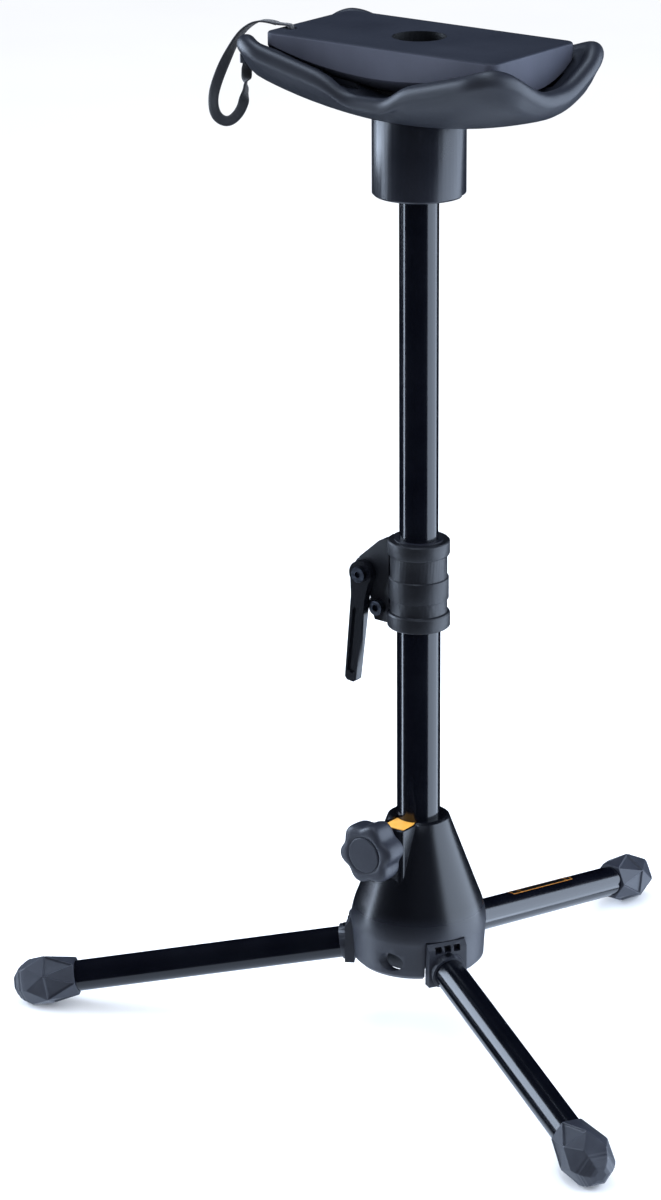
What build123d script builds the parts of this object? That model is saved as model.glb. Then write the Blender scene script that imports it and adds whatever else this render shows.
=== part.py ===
"""Low instrument stand: folding tripod, telescopic mast, swivelling cradle and lift-out block.

Millimetres, +Z up.  The origin is on the floor under the mast axis.  The cradle's long axis is X,
the hub's clamp knob points to -Y, and the three legs stand at 90, 210 and 330 degrees about Z.
"""
import os
from math import cos, pi, radians, sin, tan

from build123d import *

os.makedirs("parts", exist_ok=True)

# ---- driving dimensions -------------------------------------------------------------------
FIT = 0.05                      # radial clearance of a running or push fit
GAP = 0.35                      # clearance between neighbours that move against each other

UPPER_R, UPPER_BORE = 12.7, 11.5
LOWER_R, LOWER_BORE = 14.3, 13.1
UPPER_BOTTOM, UPPER_TOP = 278.0, 600.0
LOWER_BOTTOM, LOWER_TOP = 52.0, 318.0

LEGS = {"rear": 90, "left": 210, "right": 330}
LEG_TILT = 10.7                 # degrees below the horizontal
LEG_R, LEG_BORE = 10.5, 9.3
LEG_START, BOOT_START, LEG_END = 38.0, 235.0, 262.0   # along the leg axis, from the mast axis
BOOT_END, BOOT_R, BOOT_RIM_R = 281.5, 16.5, 11.9
MEET_Z = 64.4                   # height where the three leg axes cross the mast axis
PIVOT_RADIUS, PIVOT_Z = 28.7, 59.0
PIN_R = 3.0
RIVET_R = 2.2

SKIRT_BOTTOM, SKIRT_TOP, CONE_TOP = 48.0, 75.0, 150.0
SKIRT_R, HUB_BORE = 45.4, 14.35
FLANGE_W, FLANGE_BOTTOM, FLANGE_TOP = 27.0, 45.5, 75.0
KNOB_Z = 140.0
SHOE_BACK = -27.5               # the clamp shoe's outer face
SCREW_RADIUS = 34.0             # circle of the hub's three screws
POST_IN, POST_OUT = 17.0, 29.5  # radial reach of the core's posts between the leg bays

CLUTCH_BOTTOM, CLUTCH_TOP = 282.0, 341.0
LEVER_X, LEVER_Z = -34.0, 315.0
PINCH_X, PINCH_Z = -23.5, 293.0
EAR_Y = 11.0                    # outer faces of the clutch's two ears
EAR_R, LUG_R = 10.4, 8.6

HOUSING_R, HOUSING_BOTTOM, HOUSING_TOP = 29.75, 569.0, 620.0
SPINDLE_R = 8.0

BLOCK_TOP, BLOCK_DEPTH = 668.7, 36.0
BLOCK_L, BLOCK_W, BLOCK_HOLE_R = 175.6, 89.6, 16.5
SADDLE_ROCK, SADDLE_ROLL = 307.5, 69.0   # radii of the block's underside, along and across it
CRADLE_L, CRADLE_W, CRADLE_DEPTH = 214.0, 136.0, 18.7

STRAP_R = 1.5

UP = Vector(0, 0, 1)


def write(piece, name):
    """Label a finished sub-part and write its STEP file."""
    piece.part.label = name
    export_step(piece.part, f"parts/{name}.step")


def rod(start, end, radius):
    """A private cylinder from one point to another."""
    path = Vector(*end) - Vector(*start)
    return Plane(origin=start, z_dir=path) * Cylinder(
        radius, path.length, align=(Align.CENTER, Align.CENTER, Align.MIN), mode=Mode.PRIVATE)


def saddle(depth):
    """A ring segment whose lowest arch is the block's underside, moved outward by depth."""
    pivot_z = BLOCK_TOP - BLOCK_DEPTH + SADDLE_ROCK
    half_arc = 24
    lean = radians(half_arc)
    start = Plane(origin=(0, 0, pivot_z), x_dir=(0, 1, 0), z_dir=(cos(lean), 0, sin(lean)))
    roll_r = SADDLE_ROLL + depth
    roll_y = SADDLE_ROLL - SADDLE_ROCK
    with BuildPart() as ring:
        with BuildSketch(start):
            with BuildLine():
                CenterArc((0, roll_y), roll_r, 180, 180)
                Polyline((roll_r, roll_y), (roll_r, roll_y + 50), (-roll_r, roll_y + 50),
                         (-roll_r, roll_y))
            make_face()
        revolve(axis=Axis((0, 0, pivot_z), (0, 1, 0)), revolution_arc=2 * half_arc)
    return ring.part


# ---- hub ----------------------------------------------------------------------------------
with BuildPart() as hub_shell:
    with BuildSketch(Plane.XZ):
        with BuildLine():
            Polyline((HUB_BORE, CONE_TOP), (18.5, CONE_TOP), (20.6, CONE_TOP - 1.4), (40.8, 94.0))
            ThreePointArc((40.8, 94.0), (43.9, 84.5), (SKIRT_R, SKIRT_TOP))
            Polyline((SKIRT_R, SKIRT_TOP), (44.9, 71.5), (43.6, SKIRT_BOTTOM + 3.0),
                     (40.6, SKIRT_BOTTOM), (38.5, SKIRT_BOTTOM), (40.1, 72.0), (41.2, 76.0),
                     (36.8, 94.0), (28.5, 116.0), (HUB_BORE, 116.0), (HUB_BORE, CONE_TOP))
        make_face()
    revolve(axis=Axis.Z)
    # boss that carries the clamp knob, merged into the cone
    with BuildSketch(Plane.XY.offset(149.0)) as boss:
        with Locations((0, -23.5)):
            Rectangle(21.0, 19.0)
        fillet(boss.vertices().group_by(Axis.Y)[0], 3.0)
    extrude(amount=-43.0)
    with BuildSketch(Plane.XY.offset(160.0)):
        Circle(HUB_BORE)
    extrude(amount=-60.0, mode=Mode.SUBTRACT)
    # slot for the clamp shoe, open to the mast and to the top
    with BuildSketch(Plane.XY.offset(160.0)):
        with Locations((0, -20.0)):
            Rectangle(17.4, 19.0)
    extrude(amount=-29.0, mode=Mode.SUBTRACT)
    add(rod((0, -28.0, KNOB_Z), (0, -40.0, KNOB_Z), 5.05), mode=Mode.SUBTRACT)
    # posts for the screws that hold the core
    with BuildSketch(Plane.XY.offset(79.02)):
        with PolarLocations(SCREW_RADIUS, 3, start_angle=30):
            Circle(4.2)
    extrude(amount=20.0)
    with BuildSketch(Plane.XY.offset(79.0)):
        with PolarLocations(SCREW_RADIUS, 3, start_angle=30):
            Circle(2.02)
    extrude(amount=9.0, mode=Mode.SUBTRACT)
    for azimuth in LEGS.values():
        turn = radians(azimuth)
        # leg window, open at the skirt's lower edge
        with BuildSketch(Plane(origin=(0, 0, 40), x_dir=(cos(turn), sin(turn), 0), z_dir=UP)):
            with Locations((44.0, 0)):
                Rectangle(20.0, FLANGE_W + 2 * GAP)
        extrude(amount=FLANGE_TOP + GAP + 0.4 - 40, mode=Mode.SUBTRACT)
        # assembly hole in line with the leg's hinge pin
        side = (sin(turn), -cos(turn), 0)
        hole = Plane(origin=(PIVOT_RADIUS * cos(turn), PIVOT_RADIUS * sin(turn), PIVOT_Z + 1),
                     z_dir=side)
        with BuildSketch(hole.offset(20.0)):
            Circle(6.5)
        extrude(amount=30.0, mode=Mode.SUBTRACT)
write(hub_shell, "hub_shell")

with BuildPart() as hub_core:
    with BuildSketch(Plane.XY.offset(LOWER_BOTTOM + 2)):
        Circle(18.6)
        Circle(LOWER_R + FIT, mode=Mode.SUBTRACT)
    extrude(amount=25.0)
    with BuildSketch(Plane.XY.offset(76.2)):
        Circle(40.0)
        Circle(LOWER_R + FIT, mode=Mode.SUBTRACT)
    extrude(amount=2.8)
    for azimuth in LEGS.values():
        turn = radians(azimuth)
        radial = Plane(origin=(0, 0, 0), x_dir=(cos(turn), sin(turn), 0),
                       z_dir=(sin(turn), -cos(turn), 0))
        for start in (7.4, -10.9):
            with BuildSketch(radial.offset(start)):
                with BuildLine():
                    Polyline((16.0, 77.0), (35.0, 77.0), (35.0, 55.0), (31.0, 51.5), (16.0, 54.0),
                             (16.0, 77.0))
                make_face()
                with Locations((PIVOT_RADIUS, PIVOT_Z)):
                    Circle(PIN_R, mode=Mode.SUBTRACT)
            extrude(amount=3.5)
    # solid posts between the leg bays
    with BuildSketch(Plane.XY.offset(LOWER_BOTTOM)):
        with PolarLocations((POST_IN + POST_OUT) / 2, 3, start_angle=30):
            Rectangle(POST_OUT - POST_IN, 20.0)
    extrude(amount=25.0)
    with BuildSketch(Plane.XY.offset(50.0)):
        Circle(LOWER_R + FIT)
    extrude(amount=40.0, mode=Mode.SUBTRACT)
    with BuildSketch(Plane.XY.offset(70.0)):
        with PolarLocations(SCREW_RADIUS, 3, start_angle=30):
            Circle(2.05)
    extrude(amount=15.0, mode=Mode.SUBTRACT)
write(hub_core, "hub_core")

with BuildPart() as hub_screws:
    with BuildSketch(Plane.XY.offset(73.0)):
        with PolarLocations(SCREW_RADIUS, 3, start_angle=30):
            Circle(3.6)
    extrude(amount=3.2)
    with BuildSketch(Plane.XY.offset(76.0)):
        with PolarLocations(SCREW_RADIUS, 3, start_angle=30):
            Circle(2.0)
    extrude(amount=11.0)
write(hub_screws, "hub_screws")

for name, azimuth in LEGS.items():
    turn = radians(azimuth)
    middle = Vector(PIVOT_RADIUS * cos(turn), PIVOT_RADIUS * sin(turn), PIVOT_Z)
    with BuildPart() as leg_pin:
        with BuildSketch(Plane(origin=middle, z_dir=(sin(turn), -cos(turn), 0)).offset(-12.0)):
            Circle(PIN_R - 0.02)
        extrude(amount=24.0)
        chamfer(leg_pin.edges(), 0.5)
    write(leg_pin, f"leg_pin_{name}")

with BuildPart() as knob_nut:
    with BuildSketch(Plane.XZ.offset(29.6)):
        with Locations((0, KNOB_Z)):
            Circle(5.0)
            Circle(3.05, mode=Mode.SUBTRACT)
    extrude(amount=4.2)
write(knob_nut, "knob_nut")

# ---- mast clamp: shoe, stud and knob ------------------------------------------------------
with BuildPart() as clamp_shoe:
    with BuildSketch(Plane.XY.offset(131.5)) as outline:
        with Locations((0, (SHOE_BACK - LOWER_R - FIT) / 2)):
            Rectangle(16.6, -SHOE_BACK - LOWER_R - FIT)
        fillet(outline.vertices().group_by(Axis.Y)[0], 2.0)
    extrude(amount=17.3)
    add(rod((0, -20.0, KNOB_Z), (0, -30.0, KNOB_Z), 3.1), mode=Mode.SUBTRACT)
write(clamp_shoe, "clamp_shoe")

with BuildPart() as knob_stud:
    with BuildSketch(Plane.XZ.offset(20.2)):
        with Locations((0, KNOB_Z)):
            Circle(3.0)
    extrude(amount=36.0)
write(knob_stud, "knob_stud")

with BuildPart() as lock_knob:
    with BuildSketch(Plane.XZ.offset(35.0)):
        with Locations((0, KNOB_Z)):
            Circle(7.0)
    extrude(amount=12.0)
    with BuildSketch(Plane.XZ.offset(46.5)):
        with Locations((0, KNOB_Z)):
            Circle(16.5)
            with PolarLocations(14.5, 6, start_angle=30):
                Circle(5.5)
    extrude(amount=14.5)
    with BuildSketch(Plane.XZ.offset(59.6)):
        with Locations((0, KNOB_Z)):
            Circle(12.0)
    extrude(amount=2.0, mode=Mode.SUBTRACT)
    with BuildSketch(Plane.XZ.offset(34.0)):
        with Locations((0, KNOB_Z)):
            Circle(3.02)
    extrude(amount=22.3, mode=Mode.SUBTRACT)
write(lock_knob, "lock_knob")

with BuildPart() as knob_cap:
    with BuildSketch(Plane.XZ.offset(59.6)):
        with Locations((0, KNOB_Z)):
            Circle(11.95)
    extrude(amount=1.8)
    fillet(knob_cap.faces().sort_by(Axis.Y)[0].edges(), 0.8)
write(knob_cap, "knob_cap")

# ---- legs ---------------------------------------------------------------------------------
tilt = radians(LEG_TILT)
for name, azimuth in LEGS.items():
    turn = radians(azimuth)
    out = Vector(cos(turn), sin(turn), 0)
    side = Vector(sin(turn), -cos(turn), 0)
    along = Vector(cos(turn) * cos(tilt), sin(turn) * cos(tilt), -sin(tilt))
    axis = Plane(origin=(0, 0, MEET_Z), x_dir=side, z_dir=along)
    radial = Plane(origin=(0, 0, 0), x_dir=out, z_dir=side)

    rivet = Plane(origin=Vector(0, 0, MEET_Z) + along * 48.0, x_dir=along, z_dir=along.cross(side))

    with BuildPart() as leg_tube:
        with BuildSketch(axis.offset(LEG_START)):
            Circle(LEG_R)
            Circle(LEG_BORE, mode=Mode.SUBTRACT)
        extrude(amount=LEG_END - LEG_START)
        with BuildSketch(rivet.offset(-14.0)):
            Circle(RIVET_R + 0.02)
        extrude(amount=28.0, mode=Mode.SUBTRACT)
    write(leg_tube, f"leg_tube_{name}")

    with BuildPart() as leg_holder:
        # plate that closes the hub's window
        with BuildSketch(radial.offset(-FLANGE_W / 2)):
            with BuildLine():
                Polyline((41.6, FLANGE_BOTTOM), (41.6, FLANGE_TOP), (45.0, FLANGE_TOP),
                         (48.0, FLANGE_TOP - 3.5), (48.0, FLANGE_BOTTOM), (41.6, FLANGE_BOTTOM))
            make_face()
        extrude(amount=FLANGE_W)
        # collar around the tube
        with BuildSketch(axis.offset(43.0)):
            Circle(12.2)
        extrude(amount=9.0)
        # tongue on the hinge pin
        with BuildSketch(radial.offset(-7.0)):
            with Locations((PIVOT_RADIUS, PIVOT_Z)):
                Circle(8.2)
            with BuildLine():
                Polyline((PIVOT_RADIUS, PIVOT_Z - 8.2), (42.5, 48.5), (42.5, 70.0),
                         (PIVOT_RADIUS, PIVOT_Z + 8.2), (PIVOT_RADIUS, PIVOT_Z - 8.2))
            make_face()
        extrude(amount=14.0)
        # bore for the tube, the pin hole and three blind slots above the tube
        with BuildSketch(axis.offset(LEG_START - 0.1)):
            Circle(LEG_R + 0.02)
        extrude(amount=30.0, mode=Mode.SUBTRACT)
        with BuildSketch(radial.offset(-10.0)):
            with Locations((PIVOT_RADIUS, PIVOT_Z)):
                Circle(PIN_R + 0.04)
        extrude(amount=20.0, mode=Mode.SUBTRACT)
        with BuildSketch(Plane(origin=out * 43.0, x_dir=-side, z_dir=out)):
            with Locations((0, FLANGE_TOP - 4.2)):
                with GridLocations(6.6, 1, 3, 1):
                    Rectangle(4.6, 4.4)
        extrude(amount=10.0, mode=Mode.SUBTRACT)
        with BuildSketch(rivet.offset(-14.0)):
            Circle(RIVET_R + 0.02)
        extrude(amount=28.0, mode=Mode.SUBTRACT)
        with BuildSketch(Plane.XY.offset(FLANGE_BOTTOM)):
            Circle(120.0)
        extrude(amount=-20.0, mode=Mode.SUBTRACT)
    write(leg_holder, f"leg_holder_{name}")

    with BuildPart() as leg_rivet:
        with BuildSketch(rivet.offset(-12.6)):
            Circle(RIVET_R)
        extrude(amount=25.4)
    write(leg_rivet, f"leg_rivet_{name}")

    with BuildPart() as leg_boot:
        with BuildSketch(Plane(origin=(0, 0, MEET_Z), x_dir=along, z_dir=side)):
            with BuildLine():
                Polyline((LEG_END + 0.1, 0), (LEG_END + 0.1, LEG_R + 0.02),
                         (BOOT_START, LEG_R + 0.02), (BOOT_START, BOOT_RIM_R),
                         (BOOT_START + 1.5, BOOT_RIM_R + 1.0), (BOOT_START + 27.0, BOOT_R),
                         (BOOT_START + 33.0, BOOT_R - 1.2))
                ThreePointArc((BOOT_START + 33.0, BOOT_R - 1.2), (BOOT_END - 4.0, 10.0),
                              (BOOT_END, 0))
                Line((BOOT_END, 0), (LEG_END + 0.1, 0))
            make_face()
        revolve(axis=Axis((0, 0, MEET_Z), along))
        # flat sole on the floor
        with BuildSketch(Plane.XY):
            Rectangle(700, 700)
        extrude(amount=-10.0, mode=Mode.SUBTRACT)
    write(leg_boot, f"leg_boot_{name}")

# printed strip on the rear leg, a thin skin on top of the tube
rear = radians(LEGS["rear"])
rear_along = Vector(cos(rear) * cos(tilt), sin(rear) * cos(tilt), -sin(tilt))
rear_axis = Plane(origin=(0, 0, MEET_Z), x_dir=(sin(rear), -cos(rear), 0), z_dir=rear_along)
with BuildPart() as leg_label:
    with BuildSketch(rear_axis.offset(108.0)):
        Circle(LEG_R + 0.3)
        Circle(LEG_R + 0.02, mode=Mode.SUBTRACT)
        with Locations((0, -10.0)):
            Rectangle(6.4, 8.0, mode=Mode.INTERSECT)
    extrude(amount=74.0)
write(leg_label, "leg_label")

# ---- lower mast and height clutch ---------------------------------------------------------
with BuildPart() as lower_mast:
    with BuildSketch(Plane.XY.offset(LOWER_BOTTOM)):
        Circle(LOWER_R)
        Circle(LOWER_BORE, mode=Mode.SUBTRACT)
    extrude(amount=LOWER_TOP - LOWER_BOTTOM)
write(lower_mast, "lower_mast")

with BuildPart() as mast_plug:
    with BuildSketch(Plane.XY.offset(LOWER_BOTTOM - 2.5)):
        Circle(LOWER_R)
    extrude(amount=2.48)
    with BuildSketch(Plane.XY.offset(LOWER_BOTTOM - 0.5)):
        Circle(LOWER_BORE - 0.02)
    extrude(amount=5.0)
write(mast_plug, "mast_plug")

with BuildPart() as clutch_body:
    with BuildSketch(Plane.XZ):
        with BuildLine():
            Polyline((14.33, CLUTCH_BOTTOM), (19.7, CLUTCH_BOTTOM), (20.5, CLUTCH_BOTTOM + 0.8),
                     (20.5, 291.0), (19.9, 292.0), (18.6, 292.6), (18.6, 301.0), (19.6, 301.6),
                     (19.6, 315.4), (18.6, 316.0), (18.6, 330.6), (19.8, 331.2), (20.3, 332.2),
                     (20.3, CLUTCH_TOP - 0.8), (19.5, CLUTCH_TOP), (16.05, CLUTCH_TOP),
                     (16.05, LOWER_TOP + 0.3), (14.33, LOWER_TOP + 0.3), (14.33, CLUTCH_BOTTOM))
        make_face()
    revolve(axis=Axis.Z)
    # the two clamping ears and the lower lug
    with BuildSketch(Plane.XZ.offset(-EAR_Y)):
        with BuildLine():
            Polyline((-16.2, CLUTCH_TOP - 1), (-19.0, CLUTCH_TOP - 1), (-24.0, 338.0),
                     (-40.0, 324.0), (LEVER_X, 304.6), (-16.2, 304.0), (-16.2, CLUTCH_TOP - 1))
        make_face()
        with BuildLine():
            Polyline((-16.2, 305.0), (-31.0, 305.0), (-31.0, PINCH_Z), (PINCH_X - 4, 283.2),
                     (-16.2, 283.0), (-16.2, 305.0))
        make_face()
        with Locations((LEVER_X, LEVER_Z)):
            Circle(EAR_R)
        with Locations((PINCH_X, PINCH_Z)):
            Circle(LUG_R)
    extrude(amount=2 * EAR_Y)
    with BuildSketch(Plane.XY.offset(LOWER_TOP + 0.3)):
        Circle(16.05)
    extrude(amount=30.0, mode=Mode.SUBTRACT)
    with BuildSketch(Plane.XY.offset(CLUTCH_BOTTOM - 1)):
        with Locations((-30.0, 0)):
            Rectangle(34.0, 2.4)
    extrude(amount=70.0, mode=Mode.SUBTRACT)
    with BuildSketch(Plane.XZ.offset(-20.0)):
        with Locations((LEVER_X, LEVER_Z), (PINCH_X, PINCH_Z)):
            Circle(3.05)
    extrude(amount=40.0, mode=Mode.SUBTRACT)
write(clutch_body, "clutch_body")

with BuildPart() as clutch_bushing:
    with BuildSketch(Plane.XY.offset(LOWER_TOP + 0.5)):
        Circle(16.0)
        Circle(UPPER_R + FIT, mode=Mode.SUBTRACT)
        with Locations((-16.0, 0)):
            Rectangle(10.0, 2.0, mode=Mode.SUBTRACT)
    extrude(amount=23.2)
write(clutch_bushing, "clutch_bushing")

with BuildPart() as pinch_bolt:
    add(rod((PINCH_X, -EAR_Y - 5.0, PINCH_Z), (PINCH_X, -EAR_Y - 0.02, PINCH_Z), 5.0))
    add(rod((PINCH_X, -EAR_Y - 1.0, PINCH_Z), (PINCH_X, EAR_Y + 4.8, PINCH_Z), 3.0))
    with BuildSketch(Plane.XZ.offset(EAR_Y + 5.0)):
        with Locations((PINCH_X, PINCH_Z)):
            RegularPolygon(2.5, 6)
    extrude(amount=-2.6, mode=Mode.SUBTRACT)
write(pinch_bolt, "pinch_bolt")

with BuildPart() as pinch_nut:
    with BuildSketch(Plane.XZ.offset(-EAR_Y - 0.02)):
        with Locations((PINCH_X, PINCH_Z)):
            RegularPolygon(5.6, 6)
            Circle(3.02, mode=Mode.SUBTRACT)
    extrude(amount=-4.4)
write(pinch_nut, "pinch_nut")

LEVER_BACK, LEVER_FACE = EAR_Y + 1.5, EAR_Y + 7.5
with BuildPart() as lever_bolt:
    add(rod((LEVER_X, -LEVER_FACE - 2.6, LEVER_Z), (LEVER_X, -LEVER_FACE - 0.1, LEVER_Z), 5.2))
    add(rod((LEVER_X, -LEVER_FACE - 1.0, LEVER_Z), (LEVER_X, EAR_Y + 6.0, LEVER_Z), 3.0))
    with BuildSketch(Plane.XZ.offset(LEVER_FACE + 2.6)):
        with Locations((LEVER_X, LEVER_Z)):
            RegularPolygon(2.2, 6)
    extrude(amount=-1.8, mode=Mode.SUBTRACT)
write(lever_bolt, "lever_bolt")

with BuildPart() as lever_nut:
    with BuildSketch(Plane.XZ.offset(-EAR_Y - 0.02)):
        with Locations((LEVER_X, LEVER_Z)):
            RegularPolygon(6.2, 6)
            Circle(3.02, mode=Mode.SUBTRACT)
    extrude(amount=-5.0)
write(lever_nut, "lever_nut")

with BuildPart() as lever_washer:
    with BuildSketch(Plane.XZ.offset(EAR_Y + 0.02)):
        with Locations((LEVER_X, LEVER_Z)):
            Circle(7.5)
            Circle(3.05, mode=Mode.SUBTRACT)
    extrude(amount=1.2)
write(lever_washer, "lever_washer")

# ---- clutch lever, at rest hanging locked with its tip a little outward --------------------
LEVER_LEAN = radians(6.2)
LEVER_LENGTH = 76.0
with BuildPart() as clutch_lever:
    down = Vector(-sin(LEVER_LEAN), 0, -cos(LEVER_LEAN))
    face = Plane(origin=(LEVER_X, -LEVER_BACK, LEVER_Z), x_dir=down, z_dir=(0, -1, 0))
    with BuildSketch(face):
        Circle(8.7)
        with BuildLine():
            Polyline((0, 8.0), (16.0, 5.6), (LEVER_LENGTH - 2.0, 4.6), (LEVER_LENGTH, 2.6),
                     (LEVER_LENGTH, -2.6), (LEVER_LENGTH - 2.0, -4.6), (16.0, -5.6), (0, -8.0),
                     (0, 8.0))
        make_face()
        Circle(3.04, mode=Mode.SUBTRACT)
    extrude(amount=LEVER_FACE - LEVER_BACK)
    with BuildSketch(face.offset(LEVER_FACE - LEVER_BACK)) as recess:
        with Locations((47.0, 0)):
            Rectangle(46.0, 6.2)
        fillet(recess.vertices(), 2.0)
    extrude(amount=-1.2, mode=Mode.SUBTRACT)
write(clutch_lever, "clutch_lever")

# ---- upper mast ---------------------------------------------------------------------------
with BuildPart() as upper_mast:
    with BuildSketch(Plane.XY.offset(UPPER_BOTTOM)):
        Circle(UPPER_R)
        Circle(UPPER_BORE, mode=Mode.SUBTRACT)
    extrude(amount=UPPER_TOP - UPPER_BOTTOM)
write(upper_mast, "upper_mast")

with BuildPart() as mast_glide:
    with BuildSketch(Plane.XY.offset(UPPER_BOTTOM - 10.0)):
        Circle(LOWER_BORE - FIT)
    extrude(amount=9.98)
    with BuildSketch(Plane.XY.offset(UPPER_BOTTOM - 1.0)):
        Circle(UPPER_BORE - 0.02)
    extrude(amount=13.0)
write(mast_glide, "mast_glide")

with BuildPart() as mast_spigot:
    with BuildSketch(Plane.XY.offset(UPPER_TOP - 25.0)):
        Circle(UPPER_BORE - 0.02)
    extrude(amount=25.5)
    with BuildSketch(Plane.XY.offset(UPPER_TOP + 0.02)):
        Circle(12.6)
    extrude(amount=3.0)
    with BuildSketch(Plane.XY.offset(UPPER_TOP + 2.0)):
        Circle(SPINDLE_R - FIT)
    extrude(amount=12.5)
    with BuildSketch(Plane.XY.offset(UPPER_TOP + 15.0)):
        Circle(2.52)
    extrude(amount=-12.0, mode=Mode.SUBTRACT)
write(mast_spigot, "mast_spigot")

with BuildPart() as thrust_washer:
    with BuildSketch(Plane.XY.offset(UPPER_TOP + 3.05)):
        Circle(12.5)
        Circle(SPINDLE_R + 0.1, mode=Mode.SUBTRACT)
    extrude(amount=1.0)
write(thrust_washer, "thrust_washer")

with BuildPart() as spindle_screw:
    with BuildSketch(Plane.XY.offset(UPPER_TOP + 14.52)):
        Circle(10.5)
    extrude(amount=1.5)
    with BuildSketch(Plane.XY.offset(UPPER_TOP + 16.0)):
        Circle(5.0)
    extrude(amount=3.0)
    with BuildSketch(Plane.XY.offset(UPPER_TOP + 5.0)):
        Circle(2.5)
    extrude(amount=10.0)
write(spindle_screw, "spindle_screw")

# ---- swivel housing and cradle ------------------------------------------------------------
with BuildPart() as swivel_housing:
    with BuildSketch(Plane.XZ):
        with BuildLine():
            Polyline((UPPER_R + FIT, HOUSING_BOTTOM + 4.0), (14.5, HOUSING_BOTTOM),
                     (HOUSING_R - 1.2, HOUSING_BOTTOM), (HOUSING_R, HOUSING_BOTTOM + 1.2),
                     (HOUSING_R, HOUSING_TOP), (12.0, HOUSING_TOP), (12.0, UPPER_TOP + 14.2),
                     (SPINDLE_R, UPPER_TOP + 14.2), (SPINDLE_R, UPPER_TOP + 4.35),
                     (UPPER_R + FIT, UPPER_TOP + 4.35), (UPPER_R + FIT, HOUSING_BOTTOM + 4.0))
        make_face()
    revolve(axis=Axis.Z)
    # shallow notch in the lower rim
    notch = Plane(origin=(0, 0, HOUSING_BOTTOM - 1), x_dir=(cos(radians(36)), sin(radians(36)), 0),
                  z_dir=UP)
    with BuildSketch(notch):
        with Locations((HOUSING_R, 0)):
            Rectangle(22.0, 26.0)
    extrude(amount=2.8, mode=Mode.SUBTRACT)
    with BuildSketch(Plane.XY.offset(HOUSING_TOP)):
        with PolarLocations(21.0, 4, start_angle=45):
            Circle(2.52)
    extrude(amount=-16.0, mode=Mode.SUBTRACT)
write(swivel_housing, "swivel_housing")

PAD_L, PAD_W, PAD_THICK = 64.0, 56.0, 3.0
SIDE_POCKET_Z, END_POCKET_Z = 640.0, 637.5
underside = saddle(CRADLE_DEPTH)
seat = saddle(GAP)
pad_back = saddle(GAP + PAD_THICK)
pad_floor = saddle(GAP + PAD_THICK + 0.05)
block_form = saddle(0)

with BuildPart() as pad_recess:
    with BuildSketch(Plane.XY.offset(610.0)):
        RectangleRounded(PAD_L, PAD_W, 8.0)
    extrude(amount=60.0)
    add(pad_floor, mode=Mode.INTERSECT)

with BuildPart() as cradle_shell:
    with BuildSketch(Plane.XY.offset(600.0)):
        RectangleRounded(CRADLE_L, CRADLE_W, 30.0)
    extrude(amount=69.5)
    # the long sides dip in the middle and rise to the four corner lobes
    with BuildSketch(Plane.XZ.offset(-100.0)):
        with BuildLine():
            Line((-130, 670), (-130, 700))
            Line((-130, 700), (130, 700))
            Line((130, 700), (130, 670))
            Spline((130, 670), (95, 669), (62, 662), (42, 657), (30, 650), (20, 641.5), (0, 640),
                   (-20, 641.5), (-30, 650), (-42, 657), (-62, 662), (-95, 669), (-130, 670))
        make_face()
    extrude(amount=200.0, mode=Mode.SUBTRACT)
    # the two ends dip a little less
    with BuildSketch(Plane.YZ.offset(-130.0)):
        with BuildLine():
            Line((-90, 670), (-90, 700))
            Line((-90, 700), (90, 700))
            Line((90, 700), (90, 670))
            Spline((90, 670), (56, 669.5), (40, 661), (26, 652.5), (12, 648.5), (0, 648),
                   (-12, 648.5), (-26, 652.5), (-40, 661), (-56, 669.5), (-90, 670))
        make_face()
    extrude(amount=260.0, mode=Mode.SUBTRACT)
    # socket for the housing, screw holes and counterbores
    with BuildSketch(Plane.XY.offset(600.0)):
        Circle(HOUSING_R + FIT)
    extrude(amount=HOUSING_TOP + 0.1 - 600.0, mode=Mode.SUBTRACT)
    with BuildSketch(Plane.XY.offset(600.0)):
        with PolarLocations(21.0, 4, start_angle=45):
            Circle(2.6)
    extrude(amount=60.0, mode=Mode.SUBTRACT)
    with BuildSketch(Plane.XY.offset(625.0)):
        with PolarLocations(21.0, 4, start_angle=45):
            Circle(5.2)
    extrude(amount=30.0, mode=Mode.SUBTRACT)
    # lightening pockets between ribs, under the block's long sides and ends
    with BuildSketch(Plane.XY.offset(SIDE_POCKET_Z)):
        with GridLocations(30.0, 90.0, 3, 2):
            RectangleRounded(26.0, 18.0, 3.0)
    extrude(amount=40.0, mode=Mode.SUBTRACT)
    with BuildSketch(Plane.XY.offset(END_POCKET_Z)):
        with GridLocations(152.0, 24.0, 2, 3):
            RectangleRounded(24.0, 20.0, 3.0)
    extrude(amount=40.0, mode=Mode.SUBTRACT)
    # curved underside, seat and pad recess
    add(underside, mode=Mode.INTERSECT)
    add(seat, mode=Mode.SUBTRACT)
    add(pad_recess.part, mode=Mode.SUBTRACT)
write(cradle_shell, "cradle_shell")

with BuildPart() as cradle_pad:
    with BuildSketch(Plane.XY.offset(600.0)):
        RectangleRounded(PAD_L - 0.6, PAD_W - 0.6, 7.7)
        Circle(BLOCK_HOLE_R + 1.5, mode=Mode.SUBTRACT)
    extrude(amount=60.0)
    add(pad_back, mode=Mode.INTERSECT)
    add(seat, mode=Mode.SUBTRACT)
write(cradle_pad, "cradle_pad")

with BuildPart() as cradle_screws:
    with BuildSketch(Plane.XY.offset(625.05)):
        with PolarLocations(21.0, 4, start_angle=45):
            Circle(5.0)
    extrude(amount=3.0)
    with BuildSketch(Plane.XY.offset(606.0)):
        with PolarLocations(21.0, 4, start_angle=45):
            Circle(2.5)
    extrude(amount=20.0)
write(cradle_screws, "cradle_screws")

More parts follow.
